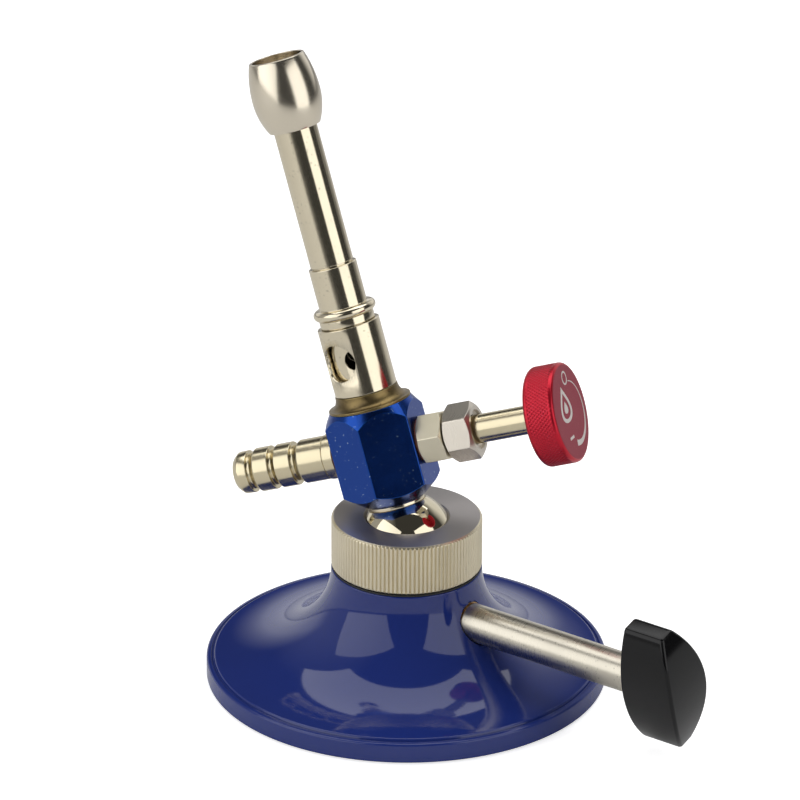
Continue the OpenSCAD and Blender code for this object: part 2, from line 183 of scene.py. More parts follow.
def steppedRod(name, look, outer, end, axes):
    # a thin part from look["from"], then a thicker one from the shoulder to the end
    stem, start, shoulder = look["stem"], look["from"], look["shoulder"]
    return lathed(name, [(0, start, 0), (stem, start, look["edges"][0]), (stem, shoulder, 0),
                         (outer, shoulder, look["edges"][1]), (outer, end, 0), (0, end, 0)], axes, 128)


def flared(start, low, neck, high, steps):
    # hollow quarter of an ellipse, from a foot up to a neck, without its two ends
    angles = [math.pi / 2 * i / steps for i in range(1, steps)]
    return [(start - (start - neck) * math.sin(a), high - (high - low) * math.cos(a), 0) for a in angles]


def drillBit(axes, radius, low, high, steps=96):
    return lathed("bit", [(0, low, 0), (radius, low, 0), (radius, high, 0), (0, high, 0)], axes, steps)


def ringOf(name, node, axes, inner, edges, steps, fine=4):
    # a ring as high and wide as its CAD node; edges are the four fillets, from the inside bottom round
    low, high, outer = span(node, axes)
    places = [(inner, low), (outer, low), (outer, high), (inner, high)]
    return lathed(name, [(*place, edge) for place, edge in zip(places, edges)], axes, steps, fine)


def settle(piece, body, material, nodes):
    # the piece's own coordinates stay with it for the lathe grain, the mesh moves to the shared frame
    mesh = piece.data
    places = [0.0] * (3 * len(mesh.vertices))
    mesh.vertices.foreach_get("co", places)
    mesh.attributes.new("turnPlace", "FLOAT_VECTOR", "POINT").data.foreach_set("vector", places)
    mesh.transform(piece.matrix_world)
    piece.matrix_world = Matrix.Identity(4)
    # weighted normals keep the flats flat next to their small fillets
    weighted = piece.modifiers.new("evenShading", "WEIGHTED_NORMAL")
    weighted.keep_sharp = True
    weighted.weight = 80
    mesh.materials.clear()
    mesh.materials.append(material)
    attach(piece, body)
    if nodes:
        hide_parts(*nodes)


def paintFaces(piece, material, chosen):
    # a second material on the chosen faces
    piece.data.materials.append(material)
    for face in piece.data.polygons:
        if chosen(face):
            face.material_index = 1


# Shader building

def newGroup(name, inputs, outputs):
    group = bpy.data.node_groups.new(name, "ShaderNodeTree")
    for label, value in inputs.items():
        made = group.interface.new_socket(label, in_out="INPUT", socket_type="NodeSocketFloat")
        made.default_value = value
    for label in outputs:
        group.interface.new_socket(label, in_out="OUTPUT", socket_type="NodeSocketFloat")
    start = group.nodes.new("NodeGroupInput")
    end = group.nodes.new("NodeGroupOutput")
    return group, start.outputs, end.inputs


def addNode(tree, kind, links=None, values=None, **settings):
    made = tree.nodes.new("ShaderNode" + kind)
    for key, value in settings.items():
        setattr(made, key, value)
    for key, value in (values or {}).items():
        made.inputs[key].default_value = value
    for key, source in (links or {}).items():
        tree.links.new(source, made.inputs[key])
    return made


def mathNode(tree, operation, a, b=None, clamp=False):
    made = addNode(tree, "Math", operation=operation, use_clamp=clamp)
    for i, source in enumerate((a, b)):
        if source is None:
            continue
        if isinstance(source, (int, float)):
            made.inputs[i].default_value = source
        else:
            tree.links.new(source, made.inputs[i])
    return made.outputs[0]


def noiseNode(tree, vector, scale, **values):
    return addNode(tree, "TexNoise", {"Vector": vector, "Scale": scale}, values).outputs[0]


# Edge wear and painted edge highlight: how far the surface turns within a small width, broken up by noise
# (worn edges on the metals, a painted highlight on the enamel, anodised and plastic skins)
wearAndSheenGroup, wearAndSheenIn, wearAndSheenOut = newGroup(
    "edgeWearAndSheen", {"Width": 0.0003, "Breakup": 900.0, "Amount": 1.0}, ["Mask"])
rounded = addNode(wearAndSheenGroup, "Bevel", {"Radius": wearAndSheenIn["Width"]}, samples=4)
flatNormal = addNode(wearAndSheenGroup, "NewGeometry")
turnedBy = addNode(wearAndSheenGroup, "VectorMath", {0: rounded.outputs[0], 1: flatNormal.outputs["Normal"]},
                   operation="DOT_PRODUCT")
wearAndSheenPlace = addNode(wearAndSheenGroup, "TexCoord")
wearAndSheenNoise = noiseNode(wearAndSheenGroup, wearAndSheenPlace.outputs["Object"], wearAndSheenIn["Breakup"], Detail=3.0, Roughness=0.6)
edge = mathNode(wearAndSheenGroup, "SUBTRACT", 1.0, turnedBy.outputs["Value"], clamp=True)
edge = mathNode(wearAndSheenGroup, "MULTIPLY", edge, 6.0, clamp=True)
broken = mathNode(wearAndSheenGroup, "MULTIPLY", edge, mathNode(wearAndSheenGroup, "MULTIPLY", wearAndSheenNoise, 1.8))
wearAndSheenGroup.links.new(mathNode(wearAndSheenGroup, "MULTIPLY", broken, wearAndSheenIn["Amount"], clamp=True), wearAndSheenOut["Mask"])

# Lathe grain: fine rings round the piece's own Z axis
grainGroup, grainIn, grainOut = newGroup("latheGrain", {"Rings": 9000.0, "Wander": 60.0}, ["Grain"])
grainPlace = addNode(grainGroup, "Attribute", attribute_name="turnPlace")
split = addNode(grainGroup, "SeparateXYZ", {0: grainPlace.outputs["Vector"]})
slow = noiseNode(grainGroup, grainPlace.outputs["Vector"], grainIn["Wander"], Detail=2.0)
flatPlace = addNode(grainGroup, "CombineXYZ", {0: split.outputs["X"], 1: split.outputs["Y"]})
fromAxis = addNode(grainGroup, "VectorMath", {0: flatPlace.outputs[0]}, operation="LENGTH")
ringPlace = mathNode(grainGroup, "ADD", split.outputs["Z"], fromAxis.outputs["Value"])
ringPlace = mathNode(grainGroup, "MULTIPLY", ringPlace, grainIn["Rings"])
ringPlace = mathNode(grainGroup, "ADD", ringPlace, mathNode(grainGroup, "MULTIPLY", slow, 0.6))
ringNoise = addNode(grainGroup, "TexNoise", {"W": ringPlace}, {"Scale": 1.0, "Detail": 3.0},
                    noise_dimensions="1D")
grainGroup.links.new(ringNoise.outputs[0], grainOut["Grain"])

# Handling marks: slow patches and fine specks that change how polished a surface is
smudgeGroup, smudgeIn, smudgeOut = newGroup(
    "handlingMarks", {"Patch Scale": 70.0, "Speck Scale": 1400.0, "Speck Cut": 0.68}, ["Patches", "Specks"])
smudgePlace = addNode(smudgeGroup, "TexCoord")
patches = noiseNode(smudgeGroup, smudgePlace.outputs["Object"], smudgeIn["Patch Scale"], Detail=4.0,
                    Roughness=0.6, Distortion=0.8)
specks = noiseNode(smudgeGroup, smudgePlace.outputs["Object"], smudgeIn["Speck Scale"], Detail=1.0)
speckMask = mathNode(smudgeGroup, "SUBTRACT", specks, smudgeIn["Speck Cut"])
smudgeGroup.links.new(patches, smudgeOut["Patches"])
smudgeGroup.links.new(mathNode(smudgeGroup, "MULTIPLY", speckMask, 14.0, clamp=True), smudgeOut["Specks"])

# Pebble: the fine uneven skin of cast, moulded or sprayed surfaces
pebbleGroup, pebbleIn, pebbleOut = newGroup("pebbleSkin", {"Scale": 500.0, "Detail": 3.0}, ["Height"])
pebblePlace = addNode(pebbleGroup, "TexCoord")
pebbles = addNode(pebbleGroup, "TexNoise",
                  {"Vector": pebblePlace.outputs["Object"], "Scale": pebbleIn["Scale"],
                   "Detail": pebbleIn["Detail"]})
pebbleGroup.links.new(pebbles.outputs[0], pebbleOut["Height"])


def useGroup(tree, group, **values):
    made = tree.nodes.new("ShaderNodeGroup")
    made.node_tree = group
    for key, value in values.items():
        made.inputs[key.replace("_", " ")].default_value = value
    return made


def newMaterial(name):
    material = bpy.data.materials.new(name)
    material.use_nodes = True
    tree = material.node_tree
    shader = tree.nodes["Principled BSDF"]
    return material, tree, shader


def blendColours(tree, mask, first, second):
    mix = addNode(tree, "Mix", data_type="RGBA")
    for socket, source in ((6, first), (7, second)):
        if isinstance(source, tuple):
            mix.inputs[socket].default_value = (*source, 1)
        else:
            tree.links.new(source, mix.inputs[socket])
    tree.links.new(mask, mix.inputs[0])
    return mix.outputs[2]


def rangeNode(tree, source, low, high):
    made = addNode(tree, "MapRange", {"Value": source}, {"To Min": low, "To Max": high})
    return made.outputs[0]


def bumpNode(tree, height, distance):
    made = addNode(tree, "Bump", {"Height": height}, {"Distance": distance, "Strength": 1.0})
    return made.outputs[0]


metalLook = {
    "dull": 0.86,              # how bright the duller patches are
    "pit": 0.3,                # how bright the pits are
    "ringRough": 0.12,         # what the lathe rings add to the roughness
    "ringDepth": 2e-6,         # metres
}


def metalMaterial(name, colour, worn, rough, grain=0.0, rings=9000.0, wearAndSheen=0.5, patch=0.05,
                  anisotropic=0.0, spots=0.0):
    # plated or turned metal: lathe grain, slow patches of polish, brighter worn edges and small dark pits
    material, tree, shader = newMaterial(name)
    marks = useGroup(tree, smudgeGroup)
    lathe = useGroup(tree, grainGroup, Rings=rings)
    edges = useGroup(tree, wearAndSheenGroup, Amount=wearAndSheen)
    dull = tuple(c * metalLook["dull"] for c in colour)
    tone = blendColours(tree, marks.outputs["Patches"], colour, dull)
    tone = blendColours(tree, edges.outputs["Mask"], tone, worn)
    if spots:
        pits = mathNode(tree, "MULTIPLY", marks.outputs["Specks"], spots)
        tone = blendColours(tree, pits, tone, tuple(c * metalLook["pit"] for c in colour))
    base = rangeNode(tree, marks.outputs["Patches"], rough - patch, rough + patch)
    uneven = grain * metalLook["ringRough"]
    ringed = rangeNode(tree, lathe.outputs["Grain"], -uneven, uneven)
    tree.links.new(tone, shader.inputs["Base Color"])
    tree.links.new(mathNode(tree, "ADD", base, ringed, clamp=True), shader.inputs["Roughness"])
    if grain:
        depth = grain * metalLook["ringDepth"]
        tree.links.new(bumpNode(tree, lathe.outputs["Grain"], depth), shader.inputs["Normal"])
    shader.inputs["Metallic"].default_value = 1.0
    if anisotropic:
        around = addNode(tree, "Tangent", direction_type="RADIAL", axis="Z")
        tree.links.new(around.outputs[0], shader.inputs["Tangent"])
        shader.inputs["Anisotropic"].default_value = anisotropic
    return material


nickelBright = metalMaterial("nickelBright", (0.77, 0.69, 0.52), (0.9, 0.86, 0.74), 0.13, 0.6, spots=0.5)
nickelSatin = metalMaterial("nickelSatin", (0.7, 0.62, 0.43), (0.9, 0.85, 0.7), 0.2, 0.9)
bonnetNickel = metalMaterial("bonnetNickel", (0.8, 0.74, 0.57), (0.9, 0.86, 0.76), 0.34, 0.5)
glandNickel = metalMaterial("glandNickel", (0.68, 0.63, 0.55), (0.9, 0.86, 0.76), 0.3, 0.5)
headSteel = metalMaterial("headSteel", (0.76, 0.69, 0.56), (0.9, 0.87, 0.8), 0.2, 0.5, 5200.0)
collarSide = metalMaterial("collarSide", (0.78, 0.7, 0.52), (0.92, 0.87, 0.72), 0.3, 0.0)
# the face-turned top and mouth: a darker grey copy of the nickel; the turned grain is real, the darker
# colour is painted shade
collarTop = metalMaterial("collarTop", (0.57, 0.54, 0.53), (0.8, 0.78, 0.75), 0.42, 0.5, anisotropic=0.6)
ballChrome = metalMaterial("ballChrome", (0.74, 0.67, 0.5), (0.86, 0.84, 0.8), 0.05, 0.0, patch=0.03)
rodSteel = metalMaterial("rodSteel", (0.62, 0.58, 0.49), (0.86, 0.84, 0.8), 0.3, 0.6, 4000.0, wearAndSheen=0.2,
                         spots=0.5)
brassPlain = metalMaterial("brassPlain", (0.72, 0.55, 0.28), (0.88, 0.76, 0.48), 0.24, 1.0)
bronze = metalMaterial("bronze", (0.62, 0.4, 0.2), (0.8, 0.6, 0.36), 0.3, 1.0)
steelPlain = metalMaterial("steelPlain", (0.48, 0.47, 0.46), (0.7, 0.69, 0.68), 0.34, 1.0)
steelDark = metalMaterial("steelDark", (0.06, 0.058, 0.056), (0.3, 0.29, 0.28), 0.42, 0.4)


def joinSurface(tree, shader, tone, marks, rough, height, depth):
    # colour, roughness that follows the slow patches, and bump
    tree.links.new(tone, shader.inputs["Base Color"])
    tree.links.new(rangeNode(tree, marks.outputs["Patches"], *rough), shader.inputs["Roughness"])
    tree.links.new(bumpNode(tree, height, depth), shader.inputs["Normal"])


def agedBrassMaterial():
    # unplated brass gone brown and olive, brighter where it is rubbed
    look = {"clean": (0.28, 0.205, 0.085), "brown": (0.06, 0.042, 0.025), "olive": (0.12, 0.088, 0.045),
            "rubbed": (0.55, 0.45, 0.2), "rough": (0.2, 0.5), "ringDepth": 2e-6, "contrast": (-0.6, 1.7)}
    material, tree, shader = newMaterial("brassAged")
    marks = useGroup(tree, smudgeGroup, Patch_Scale=210.0, Speck_Scale=1500.0)
    lathe = useGroup(tree, grainGroup, Rings=6000.0)
    edges = useGroup(tree, wearAndSheenGroup, Amount=0.9)
    patchy = rangeNode(tree, marks.outputs["Patches"], *look["contrast"])
    tone = blendColours(tree, patchy, look["olive"], look["clean"])
    tone = blendColours(tree, marks.outputs["Specks"], tone, look["brown"])
    tone = blendColours(tree, edges.outputs["Mask"], tone, look["rubbed"])
    joinSurface(tree, shader, tone, marks, look["rough"], lathe.outputs["Grain"], look["ringDepth"])
    shader.inputs["Metallic"].default_value = 1.0
    return material


def skinMaterial(name, look):
    # enamel, dyed anodising and polished plastic: patches or specks, a painted highlight along the edges and
    # a faint ripple
    material, tree, shader = newMaterial(name)
    marks = useGroup(tree, smudgeGroup, **look["marks"])
    ripple = useGroup(tree, pebbleGroup, **look["ripple"])
    edges = useGroup(tree, wearAndSheenGroup, Amount=look["wearAndSheen"])
    tone = look["colour"]
    for mask, layer in look["layers"].items():
        tone = blendColours(tree, marks.outputs[mask], tone, layer)
    # painted highlight: a lighter colour of the skin along its edges
    tone = blendColours(tree, edges.outputs["Mask"], tone, look["edge"])
    joinSurface(tree, shader, tone, marks, look["rough"], ripple.outputs["Height"], look["depth"])
    for socket, value in look["shader"].items():
        shader.inputs[socket].default_value = value
    return material


def softMaterial(name, colour, light, rough, skinScale, skinDepth):
    # rubber, nylon, fibre and graphite: matt and slightly uneven
    material, tree, shader = newMaterial(name)
    marks = useGroup(tree, smudgeGroup, Patch_Scale=120.0)
    pebble = useGroup(tree, pebbleGroup, Scale=skinScale)
    tone = blendColours(tree, marks.outputs["Patches"], colour, light)
    spread = (rough - 0.08, rough + 0.08)
    joinSurface(tree, shader, tone, marks, spread, pebble.outputs["Height"], skinDepth)
    return material


brassAged = agedBrassMaterial()
baseEnamel = skinMaterial("baseEnamel", {
    "colour": (0.012, 0.026, 0.165), "layers": {"Patches": (0.017, 0.035, 0.21)},
    # edge: painted highlight, a lighter blue along the rim and the other edges
    "edge": (0.04, 0.08, 0.3), "wearAndSheen": 0.35, "rough": (0.04, 0.1), "marks": {"Patch_Scale": 26.0},
    "ripple": {"Scale": 210.0, "Detail": 2.0}, "depth": 6e-6, "shader": {"IOR": 1.5},
})
handleBlack = skinMaterial("handleBlack", {
    "colour": (0.004, 0.004, 0.0045), "layers": {"Specks": (0.01, 0.01, 0.0095)},
    # edge: painted highlight along the handle's edges
    "edge": (0.01, 0.01, 0.0095), "wearAndSheen": 0.25, "rough": (0.07, 0.13),
    "marks": {"Patch_Scale": 45.0, "Speck_Scale": 1700.0, "Speck_Cut": 0.72},
    "ripple": {"Scale": 120.0, "Detail": 2.0}, "depth": 8e-6, "shader": {"IOR": 1.36},
})
bodyBlue = skinMaterial("bodyBlue", {
    "colour": (0.009, 0.046, 0.26),
    "layers": {"Patches": (0.014, 0.062, 0.32), "Specks": (0.3, 0.42, 0.6)},
    # edge: painted highlight, a bright blue along the hexagon's edges
    "edge": (0.02, 0.28, 1.0), "wearAndSheen": 0.8, "rough": (0.15, 0.25),
    "marks": {"Patch_Scale": 60.0, "Speck_Scale": 1500.0, "Speck_Cut": 0.7},
    "ripple": {"Scale": 1600.0, "Detail": 4.0}, "depth": 3e-6,
    "shader": {"Metallic": 1.0, "Coat Weight": 0.08, "Coat Roughness": 0.12},
})
knobRed = skinMaterial("knobRed", {
    "colour": (0.48, 0.009, 0.025),
    "layers": {"Patches": (0.58, 0.015, 0.035), "Specks": (0.75, 0.06, 0.11)},
    # edge: painted highlight, a bright pink along the knob's edges
    "edge": (0.9, 0.16, 0.24), "wearAndSheen": 0.5, "rough": (0.27, 0.37),
    "marks": {"Patch_Scale": 90.0, "Speck_Scale": 2200.0, "Speck_Cut": 0.7},
    "ripple": {"Scale": 2400.0, "Detail": 4.0}, "depth": 3e-6,
    "shader": {"Metallic": 0.8, "Coat Weight": 0.1, "Coat Roughness": 0.12},
})
knobFace = skinMaterial("knobFace", {
    "colour": (0.27, 0.018, 0.04),
    "layers": {"Patches": (0.34, 0.028, 0.055), "Specks": (0.42, 0.07, 0.09)},
    # edge: painted highlight along the rim of the face
    "edge": (0.7, 0.12, 0.17), "wearAndSheen": 0.3, "rough": (0.45, 0.55),
    "marks": {"Patch_Scale": 90.0, "Speck_Scale": 2600.0, "Speck_Cut": 0.68},
    "ripple": {"Scale": 2600.0, "Detail": 4.0}, "depth": 4e-6, "shader": {"Metallic": 0.3},
})
rubberBlack = softMaterial("rubberBlack", (0.012, 0.012, 0.012), (0.022, 0.022, 0.022), 0.62, 700.0, 2e-5)
nylonSeat = softMaterial("nylonSeat", (0.72, 0.7, 0.62), (0.8, 0.78, 0.7), 0.4, 400.0, 6e-6)
fibreRed = softMaterial("fibreRed", (0.3, 0.1, 0.06), (0.4, 0.15, 0.09), 0.7, 900.0, 1e-5)
packingBlack = softMaterial("packingBlack", (0.03, 0.03, 0.032), (0.06, 0.06, 0.062), 0.5, 900.0, 1e-5)
markInk = softMaterial("markInk", (0.62, 0.56, 0.54), (0.7, 0.65, 0.62), 0.5, 1500.0, 2e-6)
print("materials made")


# Base

baseLook = {
    "rimTop": 5.5,
    "rimEdge": 0.7,            # radius of the rim's upper edge
    "flareStep": 2.0,          # the flare starts this far inside the rim
    "flareLow": 6.2,
    "flareSteps": 60,
    "grooveInset": 1.25,       # groove between rim and flare
    "grooveWidth": 0.5,
    "grooveDepth": 0.35,
    "hollowTop": 3.2,          # recess for the bottom plate
    "hollowInset": 3.3,
    "neckStep": 0.2,           # the neck reaches this far past the gasket
    "stubStep": 2.7,           # the threaded stub is this much smaller than the gasket
    "chamber": 12.4,           # radius of the ball chamber
    "chamberFloor": 0.65,      # its floor below the lower seat
    "leverHole": 4.9,
}
gasketLook = {"width": 2.6, "edges": (0, 0.2, 0.2, 0)}


def makeBase():
    look = baseLook
    low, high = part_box("base_casting")
    gasketLow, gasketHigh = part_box("neck_gasket")
    rim, bottom, top = high.x / mm, low.z / mm, high.z / mm
    shelf = gasketLow.z / mm
    neck = gasketHigh.x / mm + look["neckStep"]
    stub = gasketHigh.x / mm - look["stubStep"]
    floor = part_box("lower_ball_seat")[0].z / mm - look["chamberFloor"]
    start = rim - look["flareStep"]
    groove = rim - look["grooveInset"]
    lip = look["rimTop"] + 0.2
    grooveFloor = lip - look["grooveDepth"]
    inside = rim - look["hollowInset"]
    shell = lathed("baseShell", [
        (0, look["hollowTop"], 0), (inside, look["hollowTop"], 0), (inside, bottom, 0.2),
        (rim, bottom, 0.5), (rim, look["rimTop"], look["rimEdge"]),
        (groove + 0.1, lip, 0.15), (groove, grooveFloor, 0.1),
        (groove - look["grooveWidth"], grooveFloor + 0.05, 0.15), (start, look["flareLow"], 0.5),
        *flared(start, look["flareLow"], neck, shelf, look["flareSteps"]),
        (neck, shelf - 0.9, 0), (neck, shelf, 0.3), (stub, shelf, 0),
        (stub, top, 0), (look["chamber"], top, 0), (look["chamber"], floor, 0), (0, floor, 0),
    ], standFrame, 256, 5)
    cutAway(shell, drillBit(leverFrame, look["leverHole"], 5, rim, 64))
    settle(shell, "base", baseEnamel, ["base_casting"])


def makeGasket():
    inner = span("neck_gasket", standFrame).radius - gasketLook["width"]
    ring = ringOf("neckSeal", "neck_gasket", standFrame, inner, gasketLook["edges"], 160, 3)
    settle(ring, "base", rubberBlack, ["neck_gasket"])


makeBase()
makeGasket()
print("base made")


# Collar nut

collarLook = {
    "teeth": 110,
    "toothDepth": 0.36,
    "samples": 10,             # mesh columns per tooth
    "valley": 0.42,            # share of the pitch taken by the valley
    "edge": 0.55,              # chamfer at the ends of the knurl
    "mouth": 10.25,
    "mouthEdge": 0.5,
    "lip": 1.3,                # thickness of the top at the mouth
    "cup": 12.25,              # radius of the hollow round the ball
    "bore": 16.0,
    "boreTop": 4.0,            # the bore narrows this far below the top's underside
}


def makeCollar():
    look = collarLook
    low, high, outer = span("collar_nut", standFrame)
    mouth, edge, bore = look["mouth"], look["edge"], look["bore"]
    under = high - look["lip"]
    inner = math.sqrt(look["cup"] ** 2 - (under - ballCentre.z / mm) ** 2)

    def outline(angle):
        # deepest in the middle of a valley, nothing on a tooth's land
        away = abs(angle * look["teeth"] / (2 * math.pi) % 1 - 0.5) / (look["valley"] / 2)
        depth = look["toothDepth"] * max(0.0, 1 - away ** 2)
        side, shelf = outer - depth, outer - edge
        return filleted([
            (bore, low, 0), (shelf, low, 0), (side, low + edge - depth * 0.9, 0.12),
            (side, high - edge + depth * 0.9, 0.12), (shelf, high, 0.1),
            (mouth + look["mouthEdge"], high, 0.12), (mouth, high - look["mouthEdge"], 0.1),
            (inner, under, 0), (bore - 0.4, under, 0), (bore, under - look["boreTop"], 0),
        ], 3)

    nut = turned("collarNut", outline, standFrame, look["teeth"] * look["samples"], smoothAngle=50)
    settle(nut, "collar", collarSide, ["collar_nut"])
    # the top and the mouth take the darker copy: painted shade on the nickel
    paintFaces(nut, collarTop, lambda face: face.normal.z > 0.9 or face.center.xy.length < (mouth + 1) * mm)


makeCollar()
print("collar nut made")


# Ball and washer

def makeBall():
    radius = span("pivot_ball", burnerFrame).radius
    flat = span("ball_washer", burnerFrame).low
    steps = 72
    top = math.acos(flat / radius)
    arc = [(radius * math.sin(a), radius * math.cos(a), 0)
           for a in [math.pi - (math.pi - top) * i / steps for i in range(1, steps + 1)]]
    ball = lathed("pivotBall", [(0, -radius, 0), *arc, (0, flat, 0)], burnerFrame)
    settle(ball, "ball", ballChrome, ["pivot_ball"])


def makeBallWasher():
    look = {"bore": 4, "edges": (0, 0.2, 0.2, 0)}
    washer = ringOf("ballWasher", "ball_washer", burnerFrame, look["bore"], look["edges"], 128)
    settle(washer, "ball", nickelBright, ["ball_washer"])


makeBall()
makeBallWasher()
print("ball made")


# Hexagonal pieces

sector = math.pi / 3


def hexCorner(across, cornerRound):
    # distance from the axis to the centre of a corner's round, and the angle past the corner where it ends
    half = sector / 2
    middle = (across / 2 - cornerRound) / math.cos(half)
    return middle, math.atan2(cornerRound * math.sin(half), middle + cornerRound * math.cos(half))


def hexRadius(angle, across, turn, cornerRound):
    # distance to the side of a hexagon whose corners are slightly rounded
    middle, touch = hexCorner(across, cornerRound)
    off = (angle - turn + sector / 2) % sector - sector / 2
    if abs(off) < touch:
        return middle * math.cos(off) + math.sqrt(cornerRound ** 2 - (middle * math.sin(off)) ** 2)
    return across / 2 / math.cos(sector / 2 - abs(off))


def hexAngles(across, turn, cornerRound, perCorner=3, perFlat=14):
    # more columns at the corners than along the flats
    touch = hexCorner(across, cornerRound)[1]
    out = []
    for k in range(6):
        corner = turn + k * sector
        out += [corner + touch * i / perCorner for i in range(-perCorner, perCorner + 1)]
        out += [corner + touch + (sector - 2 * touch) * i / perFlat for i in range(1, perFlat)]
    return out


def hexPiece(name, look, axes, outlineFor):
    # outlineFor(reach) gives the outline's corners for a side at that distance from the axis
    shape = look["across"], math.radians(look["turn"]), look["cornerRound"]
    return turned(name, lambda angle: filleted(outlineFor(hexRadius(angle, *shape)), 3), axes,
                  hexAngles(*shape), smoothAngle=28)


bodyLook = {
    "across": 22.0, "turn": 30, "cornerRound": 0.45,
    "foot": 7.5, "footRise": 4.1,          # radius of the lower face, and height of the bevel above it
    "crown": 10.4, "crownDrop": 3.7,
    "edge": 0.22,
}


def makeBody():
    low, high = span("valve_body", burnerFrame)[:2]
    foot, crown, edge = bodyLook["foot"], bodyLook["crown"], bodyLook["edge"]
    corner = bodyLook["across"] / 2 / math.cos(sector / 2) + 0.1
    footSlope = bodyLook["footRise"] / (corner - foot)
    crownSlope = bodyLook["crownDrop"] / (corner - crown)

    def outlineFor(side):
        return [(0, low, 0), (foot, low, 0.15), (side, low + (side - foot) * footSlope, edge),
                (side, high - (side - crown) * crownSlope, edge), (crown, high, 0.15), (0, high, 0)]

    body = hexPiece("valveBody", bodyLook, burnerFrame, outlineFor)
    settle(body, "burner", bodyBlue, ["valve_body"])


bonnetLook = {"across": 11.8, "turn": 18.5, "cornerRound": 0.25, "from": 11.5, "to": 18.2, "chamfer": 0.2,
              "bore": 2.3, "recess": 2.5, "recessDepth": 0.2}
glandLook = {"across": 12.8, "turn": -7.5, "cornerRound": 0.3, "from": 18.5, "to": 26.0, "chamfer": 0.6,
             "bore": 3.75, "recess": 4.9, "recessDepth": 0.9}


def hexNut(name, node, look, material):
    low, high, bore, recess = (look[key] for key in ("from", "to", "bore", "recess"))
    face = look["across"] / 2 - look["chamfer"]
    slope = math.tan(math.radians(30))
    floor = high - look["recessDepth"]

    def outlineFor(side):
        drop = (side - face) * slope
        return [(bore, low, 0), (face, low, 0.1), (side, low + drop, 0.12), (side, high - drop, 0.12),
                (face, high, 0.1), (recess, high, 0.12), (recess, floor, 0.1), (bore, floor, 0)]

    nut = hexPiece(name, look, valveFrame, outlineFor)
    settle(nut, "burner", material, [node])


makeBody()
hexNut("valveBonnet", "valve_bonnet", bonnetLook, bonnetNickel)
hexNut("glandNut", "gland_nut", glandLook, glandNickel)
print("hexagons made")


# Burner column

def makeSeatFlange():
    look = {"lip": 0.7, "lipEdge": 0.2, "land": 0.35, "steps": 12, "bore": 6.1}
    low, high, foot = span("seat_flange", burnerFrame)
    neck = span("air_sleeve", burnerFrame).radius + 0.1
    lipTop, start = low + look["lip"], foot - look["land"]
    flange = lathed("seatFlange", [
        (look["bore"], low, 0), (foot, low, look["lipEdge"]), (foot, lipTop, look["lipEdge"]),
        (start, lipTop, 0.1), *flared(start, lipTop, neck, high, look["steps"]), (neck, high, 0.15),
        (look["bore"], high, 0),
    ], burnerFrame, 160)
    settle(flange, "burner", brassAged, ["seat_flange"])


airLook = {"height": 48.2, "window": 4.75, "windowAt": -111.3, "hole": 2.7, "holeAt": -74.3}


def airBits(angle, radius, start, outer):
    # drills through both sides of the column at the air holes' height
    bits = []
    for side in (0, 180):
        outward = Matrix.Rotation(math.radians(angle + side), 4, "Z") @ Matrix.Rotation(math.pi / 2, 4, "Y")
        axes = burnerFrame @ Matrix.Translation((0, 0, airLook["height"] * mm)) @ outward
        bits.append(drillBit(axes, radius, start, outer + 2))
    return bits


def makeAirSleeve():
    look = {"bore": 6.15, "edges": (0, 0.2, 0.2, 0.1)}
    outer = span("air_sleeve", burnerFrame).radius
    sleeve = ringOf("airSleeve", "air_sleeve", burnerFrame, look["bore"], look["edges"], 256)
    cutAway(sleeve, *airBits(airLook["windowAt"], airLook["window"], 1, outer))
    settle(sleeve, "sleeve", nickelBright, ["air_sleeve"])


def makeMixingTube():
    look = {"bore": 4.6, "outer": 6.05, "ring": 6.9, "ringHeight": 2.0, "bead": 7.9, "beadHalf": 1.25,
            "thread": 5.55, "threadLength": 6, "socket": 5.05, "socketDepth": 1.5}
    low, high = span("mixing_tube", burnerFrame)[:2]
    bore, outer, ring, half = (look[key] for key in ("bore", "outer", "ring", "beadHalf"))
    ringLow = span("air_sleeve", burnerFrame).high + 0.1
    ringHigh = ringLow + look["ringHeight"]
    beadMid = ringHigh + half + 0.05
    threadEnd, socketFloor = low + look["threadLength"], high - look["socketDepth"]
    bead = [(look["bead"] - half + half * math.cos(a), beadMid + half * math.sin(a), 0)
            for a in [math.pi * i / 16 for i in range(-7, 8)]]
    tube = lathed("mixingTube", [
        (bore, low, 0), (look["thread"], low, 0.2), (look["thread"], threadEnd, 0), (outer, threadEnd, 0),
        (outer, ringLow, 0), (ring, ringLow, 0.15), (ring, ringHigh, 0.1),
        (outer + 0.2, ringHigh, 0), *bead, (outer, beadMid + half, 0.15), (outer, high, 0.25),
        (look["socket"], high, 0), (look["socket"], socketFloor, 0), (bore, socketFloor - 0.1, 0),
    ], burnerFrame)
    cutAway(tube, *airBits(airLook["holeAt"], airLook["hole"], 2, outer))
    settle(tube, "burner", nickelBright, ["mixing_tube"])
    toTube = burnerFrame.inverted()
    # painted shade: the bore is painted near black, so the tube looks dark inside through its air holes
    paintFaces(tube, steelDark, lambda face: (toTube @ face.center).xy.length < (bore + 0.1) * mm)


def makeBurnerTube():
    look = {"bore": 4.5, "spigot": 5.0, "gap": 0.4}        # a dark joint line stays above the mixing tube
    low, high, outer = span("burner_tube", burnerFrame)
    shoulder = span("mixing_tube", burnerFrame).high + look["gap"]
    tube = lathed("burnerTube", [
        (look["bore"], low, 0), (look["spigot"], low, 0), (look["spigot"], shoulder, 0),
        (outer, shoulder, 0.15), (outer, high, 0), (look["bore"], high, 0),
    ], burnerFrame, 160)
    settle(tube, "burner", nickelBright, ["burner_tube"])


